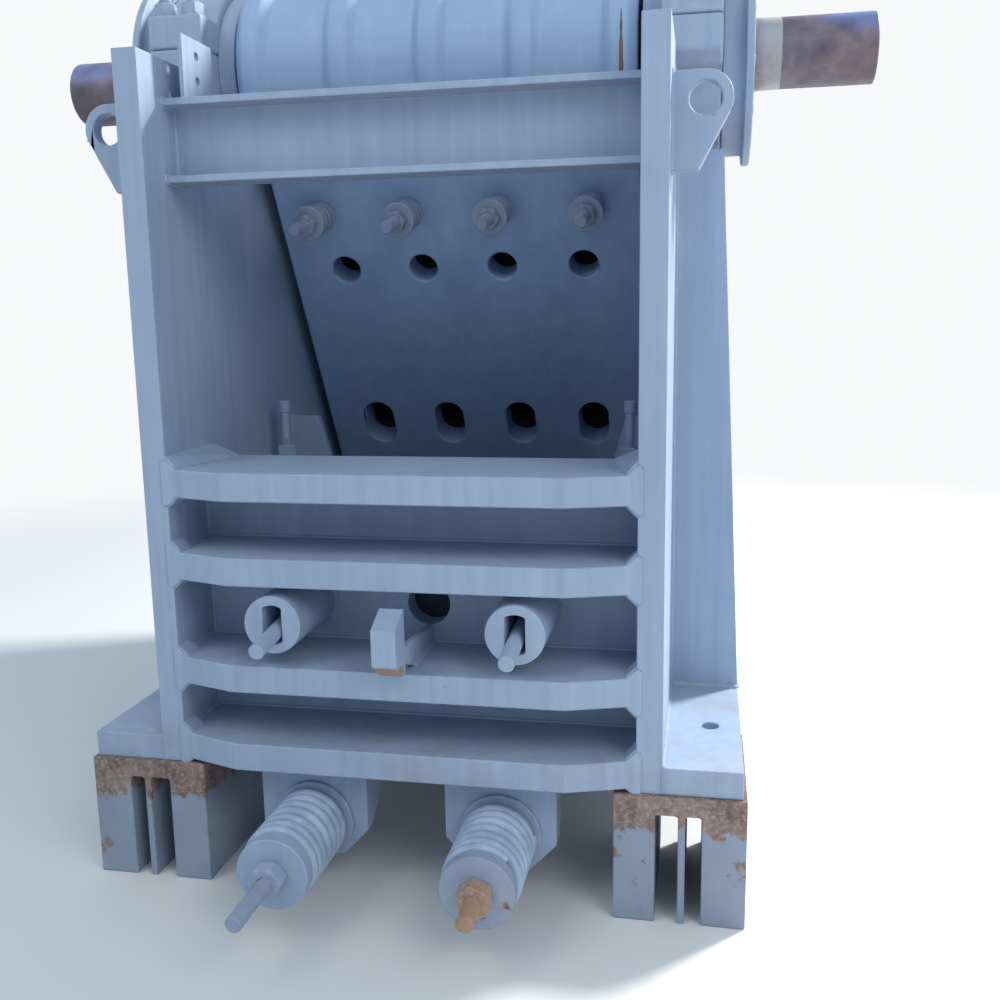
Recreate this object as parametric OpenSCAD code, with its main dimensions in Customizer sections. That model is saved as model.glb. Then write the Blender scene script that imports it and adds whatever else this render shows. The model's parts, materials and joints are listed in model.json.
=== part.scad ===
// Single toggle jaw crusher on four steel stands, discharge end towards -Y.
// Millimetres. X is across the machine, Y runs to the feed end, Z is up from the ground.

/* [Frame] */
// clear width between the two side plates
inner_w = 1200; // [900:10:1500]
// side plate thickness
side_t = 65; // [40:1:100]
// side plate height at the discharge end, above the feet
side_h = 1814; // [1500:1:2100]
// side plate length
side_l = 2485; // [2000:5:3000]
// how far the cross ribs stand proud of the side plates
rib_proud = 55; // [0:5:120]
// thickness of the cross ribs
rib_t = 74; // [40:1:100]
// undersides of the four discharge end ribs, above the feet
rib_z = [11, 223, 504, 720]; // [0:1:1800]
// height of the stands under the feet
stand_h = 335; // [100:5:600]
// foot plate thickness
foot_t = 70; // [30:1:100]
// how far a foot reaches past its side plate
foot_w = 195; // [100:1:300]

/* [Jaw and shaft] */
// distance of the shaft centre from the discharge end
shaft_y = 740; // [600:5:1000]
// height of the shaft centre above the feet
shaft_z = 1871; // [1500:1:2200]
// radius of the bare shaft ends
shaft_end_r = 93; // [60:1:120]
// half of the whole shaft length
shaft_half = 1188; // [1000:1:1500]
// gap between the jaw and each side plate
jaw_gap = 40; // [25:1:80]
// outer radius of the jaw barrel over its ribs
barrel_r = 290; // [200:5:400]
// lean of the moving jaw face from upright, in degrees
jaw_lean = 22; // [15:0.5:30]
// thickness of each jaw die over its teeth
die_t = 110; // [60:5:160]

/* [Toggle and tension rods] */
// toggle plate thickness at its rounded ends
toggle_end_r = 30; // [20:1:50]
// side offset of the tension rods
rod_x = 252; // [150:1:400]
// tension rod radius
rod_r = 20; // [10:1:40]
// height of the tension rods against the feet
rod_z = -150; // [-250:5:0]
// outer radius of the coil springs
spring_r = 98; // [50:1:120]

/* [Hidden] */
shift_y = -1030;
shift_z = stand_h;
half_in = inner_w / 2;
half_out = half_in + side_t;
jaw_half = half_in - jaw_gap;
seat_z = shaft_z - 81;
split_z = shaft_z + 34;
ear_h = 90;
ear = 340;
house_in = half_in + 22;
house_out = half_out + 115;
house_r = 265;
bore_r = 121;
cover_t = 58;
cover_rim = 22;
neck_end = house_out + 163;
wall_y = 215;
wall_t = 70;
rib_back = wall_y + wall_t;
beam_y = 105;
beam_d = 95;
beam_h = 205;
beam_z = side_h - 304;
tab_x = half_in - 47;
tab_y = beam_y + 16;
lug_x = half_out + 76;
lug_z = side_h - 170;
lug_y = 88;
lug_t = 40;
ear_y = 640;
ear_z = rib_z[3] - 5;
ear_x = half_in - 64;
lean_rear = atan(0.588);
rear_at = shaft_y - 50;
rear_ref = shaft_z - 321;
body_bottom = -40;
front_foot_y = side_l - 685;
jaw_foot_y = shaft_y + 0.6075 * (side_l - shaft_y);
die_y = jaw_foot_y + 279;
front_wall_y = die_y + die_t;
front_wall_t = 80;
front_end = side_l + rib_proud;
feed_h = side_h + 36;
front_rib_step = (feed_h - 262) / 4;
rib_top = shaft_z - house_r - 1;
tooth = jaw_half / 4;
bolt_step = (jaw_half - 148) / 1.5;
hole_step = (jaw_half - 180) / 1.5;
block_y = 315;
tog_r = [shaft_y - 40, 400];
tog_b = [shaft_y + 720, 120];
tog_half = jaw_half - 90;
tog_len = norm(tog_b - tog_r);
tog_lean = atan2(tog_b[1] - tog_r[1], tog_b[0] - tog_r[0]);
corner_w = 30;
tube_x = 311;
tube_z = 407;
tube_r = 75;
slot_w = 50;
slot_r = 50;
pull_r = 20;
pull_x = tube_x - 2;
pull_end = [-158, tube_z - 37];
pull_rise = 7;
seat_y = 30;
washer_y = -265;
washer_t = 38;
washer_r = spring_r - 7;
rod_end_left = -480;
rod_end_right = -395;
bracket_w = 146;
paint = [0.63, 0.69, 0.78];
rust = [0.42, 0.27, 0.20];
steel = [0.55, 0.52, 0.50];

// everything is drawn from the discharge end of the side plates and the underside of the feet
module machine() translate([0, shift_y, shift_z]) children();

// a copy on each side of the middle
module both_sides() for (s = [0, 1]) mirror([s, 0, 0]) children();

// a side view outline [y, z] drawn out from x0 to x1
module side_slab(x0, x1) translate([x0, 0, 0]) rotate([90, 0, 90]) linear_extrude(x1 - x0)
    children();

// a front view outline [x, z] drawn out from y0 to y1
module front_slab(y0, y1) translate([0, y1, 0]) rotate([90, 0, 0]) linear_extrude(y1 - y0)
    children();

// a round bar along X, Y or Z
module bar_x(r, x0, x1, y, z) translate([x0, y, z]) rotate([0, 90, 0])
    cylinder(r = r, h = x1 - x0, $fn = 96);
module bar_y(r, y0, y1, x, z) translate([x, y0, z]) rotate([-90, 0, 0])
    cylinder(r = r, h = y1 - y0, $fn = 64);
module bar_z(r, z0, z1, x, y) translate([x, y, z0]) cylinder(r = r, h = z1 - z0, $fn = 48);

module side_plate() difference() {
    side_slab(half_in, half_out) polygon([[0, 0], [side_l, 0], [side_l, feed_h - 110],
        [side_l - 155, feed_h], [shaft_y + 490, feed_h], [shaft_y + 390, seat_z],
        [shaft_y - 380, seat_z], [shaft_y - 380, side_h], [0, side_h]]);
    bar_x(house_r + 0.3, half_in - 1, half_out + 1, shaft_y, shaft_z);
}
module side_plate_right() color(paint) machine() side_plate();
module side_plate_left() color(paint) machine() mirror([1, 0, 0]) side_plate();

// upright stiffener standing on a foot, wide at the bottom
module outer_rib(y) front_slab(y, y + 50) polygon([[half_out, foot_t],
    [half_out + foot_w, foot_t], [half_out + 125, rib_top], [half_out, rib_top]]);
module outer_ribs() for (y = [shaft_y - 140, shaft_y + 170, side_l - 485]) outer_rib(y);
module outer_ribs_right() color(paint) machine() outer_ribs();
module outer_ribs_left() color(paint) machine() mirror([1, 0, 0]) outer_ribs();

module foot(y0, y1, hole_y) difference() {
    translate([half_out, y0, 0]) cube([foot_w, y1 - y0, foot_t]);
    bar_z(23, -1, foot_t + 1, half_out + 114, hole_y);
}
module rear_feet() color(paint) machine() both_sides() foot(0, shaft_y + 260, 293);
module front_feet() color(paint) machine() both_sides() foot(front_foot_y, side_l, side_l - 285);

// channel beam, open side towards the viewer
module top_crossbeam() color(paint) machine() difference() {
    translate([-half_in, beam_y, beam_z]) cube([inner_w, beam_d, beam_h]);
    translate([-half_in - 1, beam_y - 1, beam_z + 18])
        cube([inner_w + 2, beam_d - 24, beam_h - 36]);
}

module rear_wall() color(paint) machine() difference() {
    translate([-half_in, wall_y, 0]) cube([inner_w, wall_t, rib_z[3]]);
    bar_y(58, wall_y - 1, rib_back + 1, 28, 403);
    both_sides() pull_slot(wall_y - 1, rib_back + 1);
}

// upright slot with arched ends that an adjusting rod passes through
module pull_slot(y0, y1) intersection() {
    bar_y(slot_r, y0, y1, tube_x, tube_z);
    translate([tube_x - slot_w / 2, y0, tube_z - slot_r]) cube([slot_w, y1 - y0, 2 * slot_r]);
}

// cross rib seen from above, proud in the middle and drawn back at the ends
module rib_plate(depth) linear_extrude(rib_t) polygon([[-half_in, 0],
    [170 - half_in, -rib_proud], [half_in - 170, -rib_proud], [half_in, 0],
    [half_in, depth], [-half_in, depth]]);
module rear_ribs() color(paint) machine() {
    for (i = [0:2]) translate([0, 0, rib_z[i]]) rib_plate(wall_y);
    translate([0, 0, rib_z[3]]) rib_plate(rib_back);
}

// corner pieces where the ribs meet the side plates
module corner(z, up) front_slab(0, 60) polygon([[half_in, z], [half_in - corner_w, z],
    [half_in, z + up * corner_w]]);
module wedge(wide) polygon([[half_in - wide, rib_z[3] + rib_t], [half_in, rib_z[3] + rib_t],
    [half_in, rib_z[3] + rib_t + 34]]);
module post_gussets() color(paint) machine() both_sides() {
    for (i = [0:2]) {
        corner(rib_z[i] + rib_t, 1);
        corner(rib_z[i + 1], -1);
    }
    hull() {
        front_slab(0, 1) wedge(30);
        front_slab(275, 276) wedge(80);
    }
}

module slotted_tubes() color(paint) machine() both_sides() difference() {
    bar_y(tube_r, -50, wall_y, tube_x, tube_z);
    pull_slot(-51, wall_y + 1);
}

// chamfered hook block on an arm welded to the rib and the wall
module jack_bracket() color(paint) machine() {
    side_slab(-20, 42) polygon([[-150, 344], [-95, 305], [-70, 305], [-70, 469],
        [-78, 469], [-150, 435]]);
    side_slab(24, 42) polygon([[-70, 330], [10, rib_z[1] + rib_t], [wall_y, rib_z[1] + rib_t],
        [wall_y, 348], [-70, 373]]);
}

// ear on the side plate for a hold down rod
module hold_down_ears() color(paint) machine() both_sides() difference() {
    translate([half_in - 108, ear_y - 40, ear_z]) cube([108, 80, 25]);
    bar_z(14.3, ear_z - 1, ear_z + 26, ear_x, ear_y);
}

// upright gusset on the side plate, sloping inwards to its foot
module side_gussets() color(paint) machine() both_sides() front_slab(ear_y + 210, ear_y + 240)
    polygon([[half_in, ear_z - 75], [half_in, ear_z + 133], [half_in - 92, ear_z + 133],
        [half_in - 128, ear_z], [half_in - 128, ear_z - 75]]);

module hold_down_rods() color(steel) machine() both_sides() {
    bar_z(14, ear_z - 75, ear_z + 165, ear_x, ear_y);
    bar_z(18, ear_z + 165, ear_z + 200, ear_x, ear_y);
    translate([ear_x, ear_y, ear_z + 25]) cylinder(r = 29, h = 40, $fn = 6);
    translate([ear_x, ear_y, ear_z - 40]) cylinder(r = 29, h = 40, $fn = 6);
}

module bearing_bases() color(paint) machine() both_sides() difference() {
    union() {
        side_slab(house_in, house_out) polygon([[shaft_y - ear, seat_z + 31],
            [shaft_y - ear + 40, seat_z], [shaft_y + ear - 40, seat_z],
            [shaft_y + ear, seat_z + 31], [shaft_y + ear, split_z], [shaft_y - ear, split_z]]);
        bar_x(house_r, house_in, house_out, shaft_y, shaft_z);
    }
    translate([house_in - 1, shaft_y - ear - 1, split_z])
        cube([house_out - house_in + 2, 2 * ear + 2, house_r + 1]);
    bar_x(bore_r, house_in - 1, house_out + 1, shaft_y, shaft_z);
}

module bearing_caps() color(paint) machine() both_sides() difference() {
    union() {
        translate([house_in, shaft_y - ear, split_z])
            cube([house_out - house_in, 2 * ear, ear_h]);
        bar_x(house_r, house_in, house_out, shaft_y, shaft_z);
    }
    translate([house_in - 1, shaft_y - ear - 1, shaft_z - house_r - 1])
        cube([house_out - house_in + 2, 2 * ear + 2, split_z - shaft_z + house_r + 1]);
    bar_x(bore_r, house_in - 1, house_out + 1, shaft_y, shaft_z);
}

module cap_nuts() color(steel) machine() both_sides()
    for (x = [house_in + 42, house_out - 36]) for (y = [shaft_y - 295, shaft_y + 295]) {
        bar_z(17, split_z + ear_h, split_z + ear_h + 52, x, y);
        translate([x, y, split_z + ear_h]) cylinder(r = 31, h = 32, $fn = 6);
    }

module bearing_covers() color(paint) machine() both_sides() difference() {
    union() {
        bar_x(house_r + 2, house_out, house_out + cover_t, shaft_y, shaft_z);
        bar_x(house_r + 30, house_out + cover_t, house_out + cover_t + cover_rim, shaft_y, shaft_z);
    }
    bar_x(bore_r - 18, house_out - 1, house_out + cover_t + cover_rim + 1, shaft_y, shaft_z);
}

module seal_rings() color(paint) machine() both_sides() difference() {
    bar_x(house_r - 20, jaw_half + 12, house_in, shaft_y, shaft_z);
    bar_x(bore_r + 5, jaw_half + 11, house_in + 1, shaft_y, shaft_z);
}

// flat eye with a straight top, tapering down along the side plate
module lifting_lugs() color(paint) machine() both_sides() difference() {
    union() {
        front_slab(lug_y, lug_y + lug_t) polygon([[half_out, lug_z - 157],
            [lug_x - 14, lug_z - 157], [lug_x + 58, lug_z - 22], [lug_x, lug_z + 62],
            [half_out, lug_z + 62]]);
        bar_y(62, lug_y, lug_y + lug_t, lug_x, lug_z);
    }
    bar_y(38, lug_y - 1, lug_y + lug_t + 1, lug_x, lug_z);
}

// small upright plate with two holes, standing on the crossbeam
module bracket_plate() color(paint) machine() difference() {
    translate([-tab_x, tab_y, beam_z + beam_h]) cube([12, 164, 155]);
    for (z = [53, 114]) bar_x(11, -tab_x - 1, 13 - tab_x, tab_y + 77, beam_z + beam_h + z);
}

module front_wall() color(paint) machine() translate([-half_in, front_wall_y, 0])
    cube([inner_w, front_wall_t, feed_h - 10]);

module front_ribs() color(paint) machine() {
    y0 = front_wall_y + front_wall_t;
    for (i = [0:4]) translate([0, y0, rib_z[0] + i * front_rib_step]) linear_extrude(rib_t)
        polygon([[-half_in, 0], [half_in, 0], [half_in, side_l - y0],
            [half_in - 170, front_end - y0], [170 - half_in, front_end - y0],
            [-half_in, side_l - y0]]);
}

// plate with upright teeth on one face
module toothed(h) linear_extrude(h) union() {
    translate([-jaw_half, 0]) square([2 * jaw_half, die_t - 38]);
    for (i = [-4:3]) translate([(i + 0.5) * tooth, die_t - 38])
        polygon([[-0.43 * tooth, 0], [0.43 * tooth, 0], [0.19 * tooth, 38],
            [-0.19 * tooth, 38]]);
}
module fixed_jaw_die() color(steel) machine() translate([0, front_wall_y, 20])
    mirror([0, 1, 0]) toothed(feed_h - 60);
module moving_jaw_die() color(steel) machine() translate([0, jaw_foot_y, 0])
    rotate([jaw_lean, 0, 0]) toothed((shaft_z - 171) / cos(jaw_lean));

module cheek_plates() color(steel) machine() both_sides() side_slab(half_in - 25, half_in)
    polygon([[front_line(1520) - 56, 1520], [front_line(30) - 148, 30], [die_y - 7, 30],
        [die_y - 7, feed_h - 20], [front_line(1520) + 164, feed_h - 20],
        [front_line(1520) - 56, 1700]]);

module block_guides() color(paint) machine() both_sides()
    translate([half_in - 90, rib_back, tog_r[1] - 145]) cube([90, 400, 30]);

// hanging plate that takes the spring, with a cheek back to the wall foot
module spring_brackets() color(paint) machine() both_sides() difference() {
    union() {
        front_slab(seat_y, seat_y + 50) polygon([[rod_x - bracket_w, rib_z[0]],
            [rod_x + bracket_w, rib_z[0]], [rod_x + bracket_w, rod_z - 23],
            [rod_x + 77, rod_z - 97], [rod_x - 77, rod_z - 97], [rod_x - bracket_w, rod_z - 23]]);
        for (x = [rod_x - bracket_w, rod_x + bracket_w - 30]) side_slab(x, x + 30)
            polygon([[seat_y + 50, rib_z[0]], [seat_y + 50, rod_z - 20], [wall_y, -60],
                [wall_y, rib_z[0]]]);
    }
    bar_y(36, seat_y - 1, seat_y + 51, rod_x, rod_z);
}

module coil_springs() color(steel) machine() both_sides() difference() {
    bar_y(spring_r, washer_y + washer_t, seat_y, rod_x, rod_z);
    bar_y(spring_r - 34, washer_y + washer_t - 1, seat_y + 1, rod_x, rod_z);
}

// capped stand of three upright plates
module stand(y0, y1) translate([0, y0, -stand_h]) {
    stand_in = half_in - 55;
    stand_out = half_out + foot_w + 10;
    translate([stand_in, 0, stand_h - 50]) cube([stand_out - stand_in, y1 - y0, 50]);
    translate([stand_in, 0, 0]) cube([103, y1 - y0, stand_h - 50]);
    translate([stand_in + 159, 0, 0]) cube([18, y1 - y0, stand_h - 50]);
    translate([stand_out - 108, 0, 0]) cube([108, y1 - y0, stand_h - 50]);
}
module rear_stands() color(rust) machine() both_sides() stand(-10, 420);
module front_stands() color(rust) machine() both_sides() stand(side_l - 425, side_l);

module eccentric_shaft() color(rust) machine() {
    bar_x(barrel_r / 2 + 5, 20 - jaw_half, jaw_half - 20, shaft_y, shaft_z);
    both_sides() {
        bar_x(bore_r - 1, jaw_half - 20, house_out - 6, shaft_y, shaft_z);
        translate([house_out - 6, shaft_y, shaft_z]) rotate([0, 90, 0])
            cylinder(r1 = shaft_end_r + 4, r2 = shaft_end_r, h = neck_end - house_out + 6, $fn = 96);
        bar_x(shaft_end_r, neck_end, shaft_half, shaft_y, shaft_z);
    }
}

// rib with sloping sides round the barrel
module barrel_rib(x0, x1) translate([0, shaft_y, shaft_z]) rotate([0, 90, 0])
    rotate_extrude($fn = 96) polygon([[0, x0 - 26], [barrel_r - 26, x0 - 26], [barrel_r, x0],
        [barrel_r, x1], [barrel_r - 26, x1 + 26], [0, x1 + 26]]);

// barrel with three ribs round it and a wide rib at each end
module barrel_outline() {
    bar_x(barrel_r - 26, -jaw_half, jaw_half, shaft_y, shaft_z);
    for (x = [-255, 0, 255]) barrel_rib(x - 23, x + 23);
    both_sides() barrel_rib(jaw_half - 70, jaw_half - 26);
}

module pitman_barrel() color(paint) machine() difference() {
    barrel_outline();
    bar_x(barrel_r / 2 + 6, -jaw_half - 1, jaw_half + 1, shaft_y, shaft_z);
}

function rear_line(z) = rear_at + 0.588 * (rear_ref - z);
function front_line(z) = jaw_foot_y - tan(jaw_lean) * z;

module on_rear(z, x) translate([x, rear_line(z), z]) rotate([90 + lean_rear, 0, 0]) children();

module pitman_body() color(paint) machine() difference() {
    side_slab(-jaw_half, jaw_half) polygon([[rear_line(shaft_z - 171), shaft_z - 171],
        [rear_line(body_bottom), body_bottom], [front_line(body_bottom), body_bottom],
        [front_line(shaft_z - 71), shaft_z - 71], [rear_line(shaft_z - 171) + 60, shaft_z - 71]]);
    barrel_outline();
    for (i = [-1.5:1.5]) {
        on_rear(shaft_z - 555, i * hole_step) translate([0, 0, -90])
            cylinder(r = 45, h = 91, $fn = 64);
        on_rear(shaft_z - 1073, i * hole_step) translate([0, 0, -90]) {
            for (s = [-34, 34]) translate([0, s, 0]) cylinder(r = 50, h = 91, $fn = 64);
            translate([-50, -34, 0]) cube([100, 68, 91]);
        }
    }
}

// sprung bolts through the jaw, their axes nearer level than the plate they stand on
module jaw_bolts() color(steel) machine() difference() {
    for (i = [-1.5:1.5]) translate([i * bolt_step, rear_line(shaft_z - 393), shaft_z - 393])
        rotate([104, 0, 0]) {
            translate([0, 0, -30]) cylinder(r = 34, h = 160, $fn = 64);
            translate([0, 0, 130]) cylinder(r = 50, h = 20, $fn = 64);
            translate([0, 0, 150]) cylinder(r = 32, h = 34, $fn = 6);
            translate([0, 0, 184]) cylinder(r = 18, h = 86, $fn = 48);
        }
    side_slab(-jaw_half, jaw_half) polygon([[rear_line(shaft_z - 171) - 0.05, shaft_z - 171],
        [rear_line(shaft_z - 571) - 0.05, shaft_z - 571],
        [rear_line(shaft_z - 571) + 100, shaft_z - 571],
        [rear_line(shaft_z - 171) + 100, shaft_z - 171]]);
}

module toggle_seat() color(steel) machine() difference() {
    side_slab(-tog_half - 10, tog_half + 10) polygon([[tog_b[0] - 2, tog_b[1] - 62],
        [tog_b[0] - 2, tog_b[1] + 62], [rear_line(tog_b[1] + 62) - 0.05, tog_b[1] + 62],
        [rear_line(tog_b[1] - 62) - 0.05, tog_b[1] - 62]]);
    bar_x(toggle_end_r + 0.5, -tog_half - 11, tog_half + 11, tog_b[0], tog_b[1]);
}

module rod_lugs() color(paint) machine() both_sides()
    side_slab(rod_x - 45, rod_x + 45) polygon([[rear_line(body_bottom) + 5, body_bottom],
        [rear_line(body_bottom) + 130, body_bottom], [rear_line(body_bottom) + 60, rod_z - 50],
        [rear_line(body_bottom) + 5, rod_z - 50]]);

module tension_rods() color(steel) machine() {
    bar_y(rod_r, rod_end_right, rear_line(body_bottom) + 5, rod_x, rod_z);
    bar_y(rod_r, rod_end_left, rear_line(body_bottom) + 5, -rod_x, rod_z);
}

module rod_nuts() color(rust) machine() both_sides() difference() {
    union() {
        bar_y(washer_r, washer_y, washer_y + washer_t, rod_x, rod_z);
        translate([rod_x, washer_y, rod_z]) rotate([90, 0, 0]) cylinder(r = 42, h = 45, $fn = 6);
    }
    bar_y(rod_r, washer_y - 46, washer_y + washer_t + 1, rod_x, rod_z);
}

module toggle_block() color(steel) machine() difference() {
    side_slab(-tog_half - 30, tog_half + 30) polygon([[block_y, tog_r[1] - 110],
        [tog_r[0] - 80, tog_r[1] - 110], [tog_r[0] + 2, tog_r[1] - 62],
        [tog_r[0] + 2, tog_r[1] + 62], [tog_r[0] - 80, tog_r[1] + 160],
        [block_y, tog_r[1] + 160]]);
    bar_x(toggle_end_r + 0.5, -tog_half - 31, tog_half + 31, tog_r[0], tog_r[1]);
}

// rods fixed to the block, drooping to their ends
module adjusting_rods() color(steel) machine() both_sides() difference() {
    translate([pull_x, pull_end[0], pull_end[1]]) rotate([pull_rise - 90, 0, 0])
        cylinder(r = pull_r, h = block_y - pull_end[0] + 20, $fn = 64);
    translate([pull_x - 30, block_y, tube_z - 40]) cube([60, 40, 120]);
}

module toggle_plate() color(steel) machine() {
    bar_x(toggle_end_r, -tog_half, tog_half, tog_r[0], tog_r[1]);
    bar_x(toggle_end_r, -tog_half, tog_half, tog_b[0], tog_b[1]);
    translate([0, tog_r[0], tog_r[1]]) rotate([tog_lean, 0, 0])
        translate([-tog_half, 0, 8 - toggle_end_r])
            cube([2 * tog_half, tog_len, 2 * toggle_end_r - 16]);
}

side_plate_left();
side_plate_right();
outer_ribs_left();
outer_ribs_right();
rear_feet();
front_feet();
top_crossbeam();
rear_wall();
rear_ribs();
post_gussets();
slotted_tubes();
jack_bracket();
hold_down_ears();
side_gussets();
hold_down_rods();
bearing_bases();
bearing_caps();
cap_nuts();
bearing_covers();
seal_rings();
lifting_lugs();
bracket_plate();
front_wall();
front_ribs();
fixed_jaw_die();
cheek_plates();
block_guides();
spring_brackets();
coil_springs();
rear_stands();
front_stands();
eccentric_shaft();
pitman_barrel();
pitman_body();
moving_jaw_die();
jaw_bolts();
toggle_seat();
rod_lugs();
tension_rods();
rod_nuts();
toggle_block();
adjusting_rods();
toggle_plate();
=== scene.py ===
import json
import math
import random

import bmesh
import bpy
from mathutils import Matrix, Vector, noise
from mathutils.bvhtree import BVHTree


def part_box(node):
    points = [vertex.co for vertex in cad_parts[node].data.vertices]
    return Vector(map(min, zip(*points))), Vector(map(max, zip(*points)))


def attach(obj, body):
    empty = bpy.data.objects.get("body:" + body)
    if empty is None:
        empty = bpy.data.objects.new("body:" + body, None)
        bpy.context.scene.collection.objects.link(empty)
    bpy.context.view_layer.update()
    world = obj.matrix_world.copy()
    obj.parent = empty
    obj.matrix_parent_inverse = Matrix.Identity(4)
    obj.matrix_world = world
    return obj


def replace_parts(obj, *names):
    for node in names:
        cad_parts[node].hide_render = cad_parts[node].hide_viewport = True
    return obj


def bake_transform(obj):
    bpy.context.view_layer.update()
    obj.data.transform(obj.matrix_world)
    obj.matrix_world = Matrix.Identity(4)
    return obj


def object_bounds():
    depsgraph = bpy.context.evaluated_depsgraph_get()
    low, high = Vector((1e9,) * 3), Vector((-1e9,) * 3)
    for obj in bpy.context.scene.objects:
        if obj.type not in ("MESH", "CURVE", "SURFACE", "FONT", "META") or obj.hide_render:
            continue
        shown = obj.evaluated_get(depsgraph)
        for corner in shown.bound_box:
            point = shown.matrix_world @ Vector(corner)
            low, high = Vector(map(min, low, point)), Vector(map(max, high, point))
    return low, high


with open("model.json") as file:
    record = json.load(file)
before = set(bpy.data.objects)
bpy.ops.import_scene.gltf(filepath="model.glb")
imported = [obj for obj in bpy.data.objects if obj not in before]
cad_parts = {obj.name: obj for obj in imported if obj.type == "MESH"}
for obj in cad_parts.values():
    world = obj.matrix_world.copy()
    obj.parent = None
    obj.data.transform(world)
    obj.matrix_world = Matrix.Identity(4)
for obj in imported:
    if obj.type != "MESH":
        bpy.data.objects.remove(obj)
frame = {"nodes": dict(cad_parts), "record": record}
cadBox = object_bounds()
print("frame loaded:", len(frame["nodes"]), "nodes")

mm = 0.001
xAxis = Vector((1, 0, 0))
yAxis = Vector((0, 1, 0))
zAxis = Vector((0, 0, 1))


# shader building

def colour(red, green, blue):
    # screen colour from 0 to 255, turned into the linear values that shaders take
    return tuple((c / 255 / 12.92) if c < 11 else ((c / 255 + 0.055) / 1.055) ** 2.4
                 for c in (red, green, blue))


class Wire:
    # one output of a node, which takes part in sums
    def __init__(self, finish, output):
        self.finish = finish
        self.output = output

    def sum(self, operation, first, second):
        return self.finish.add("Math", {"operation": operation}, {0: first, 1: second})

    def __add__(self, other):
        return self.sum("ADD", self, other)

    def __radd__(self, other):
        return self.sum("ADD", other, self)

    def __sub__(self, other):
        return self.sum("SUBTRACT", self, other)

    def __rsub__(self, other):
        return self.sum("SUBTRACT", other, self)

    def __mul__(self, other):
        return self.sum("MULTIPLY", self, other)

    def __rmul__(self, other):
        return self.sum("MULTIPLY", other, self)

    def __abs__(self):
        return self.sum("ABSOLUTE", self, 0.0)

    def most(self, other):
        return self.sum("MAXIMUM", self, other)

    def rise(self, low, high):
        # 0 below low, 1 above high, smooth between
        return self.finish.add("MapRange", {"interpolation_type": "SMOOTHSTEP"},
                               {"Value": self, "From Min": low, "From Max": high})


class Finish:
    # a material and the shorthand for its nodes
    def __init__(self, name, **fixed):
        self.material = bpy.data.materials.new(name)
        self.material.use_nodes = True
        self.tree = self.material.node_tree
        self.shader = self.tree.nodes["Principled BSDF"]
        self.body = Wire(self, self.shader.outputs[0])
        self.set(**fixed)
        self.place = self.add("TexCoord", output="Object")
        self.normal = self.add("NewGeometry", output="Normal")

    def add(self, kind, settings=None, inputs=None, output=0):
        node = self.tree.nodes.new("ShaderNode" + kind)
        for name, value in (settings or {}).items():
            if name == "stops":
                points = node.color_ramp.elements
                while len(points) < len(value):
                    points.new(0.5)
                for point, (where, shade) in zip(points, value):
                    point.position = where
                    point.color = (*shade, 1)
            else:
                setattr(node, name, value)
        for name, value in (inputs or {}).items():
            self.feed(node.inputs[name], value)
        return Wire(self, node.outputs[output])

    def feed(self, socket, value):
        if isinstance(value, Wire):
            self.tree.links.new(value.output, socket)
        elif socket.type == "RGBA":
            socket.default_value = (*value, 1)
        else:
            socket.default_value = value

    def set(self, **values):
        # shader inputs by their names, with _ for a space
        for name, value in values.items():
            self.feed(self.shader.inputs[name.replace("_", " ")], value)

    def noise(self, scale, detail=4, stretch=(1, 1, 1), rough=0.55):
        place = self.place
        if stretch != (1, 1, 1):
            place = self.add("Mapping", {}, {"Vector": place, "Scale": stretch})
        return self.add("TexNoise", {}, {"Vector": place, "Scale": scale, "Detail": detail,
                                         "Roughness": rough})

    def axis(self, vector, which):
        return self.add("SeparateXYZ", {}, {"Vector": vector}, output=which)

    def mix(self, share, first, second):
        return self.add("Mix", {"data_type": "RGBA"}, {0: share, 6: first, 7: second}, output=2)

    def edges(self, width):
        # 1 along outer edges, 0 on flat faces
        rounded = self.add("Bevel", {"samples": 2}, {"Radius": width})
        level = self.add("VectorMath", {"operation": "DOT_PRODUCT"},
                         {0: rounded, 1: self.normal}, output="Value")
        return (1 - level).rise(0.01, 0.16)

    def near(self, centre, size, wobble=0.25):
        # 1 inside a ragged patch round a point, size is its half widths
        moved = self.add("VectorMath", {"operation": "SUBTRACT"}, {0: self.place, 1: centre})
        scaled = self.add("VectorMath", {"operation": "DIVIDE"}, {0: moved, 1: size})
        reach = self.add("VectorMath", {"operation": "LENGTH"}, {0: scaled}, output="Value")
        ragged = reach + (self.noise(34, 4) - 0.5) * (wobble * 4)
        return 1 - ragged.rise(0.86, 1.0)

    def bump(self, *layers):
        # each layer is a height from 0 to 1 and its depth in metres
        bumped = None
        for height, depth in layers:
            inputs = {"Height": height, "Distance": depth, "Strength": 1.0}
            if bumped:
                inputs["Normal"] = bumped
            bumped = self.add("Bump", {}, inputs)
        self.set(Normal=bumped)


# finishes

shades = {
    "paint": (150, 167, 192),
    "paintDark": (138, 155, 180),
    "paintPale": (166, 181, 203),
    "dust": (176, 178, 182),
    # brown for mud and dirt, also used as painted shade on faces turned down
    "earth": (128, 110, 92),
    "rust": (112, 76, 58),
    "rustDark": (66, 46, 42),
    "rustPale": (150, 120, 98),
    "bareSteel": (142, 138, 134),
    "rustTan": (178, 144, 122),
    # jaw colours: the paint tinted blue, a painted sky light on the jaw casting in shade
    "jawDark": (134, 158, 192),
    "jaw": (146, 171, 206),
    "jawPale": (160, 184, 216),
    # barrel colours: the paint tinted blue and lighter, a painted sky light on the barrel
    "barrel": (150, 176, 208),
    "barrelPale": (164, 190, 218),
    # bolt colours: the paint darkened, a painted shade on the jaw bolts
    "boltShadeDark": (118, 131, 152),
    "bolt": (131, 145, 167),
    "boltShadePale": (145, 158, 178),
}


def shade(name):
    return colour(*shades[name])


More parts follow.
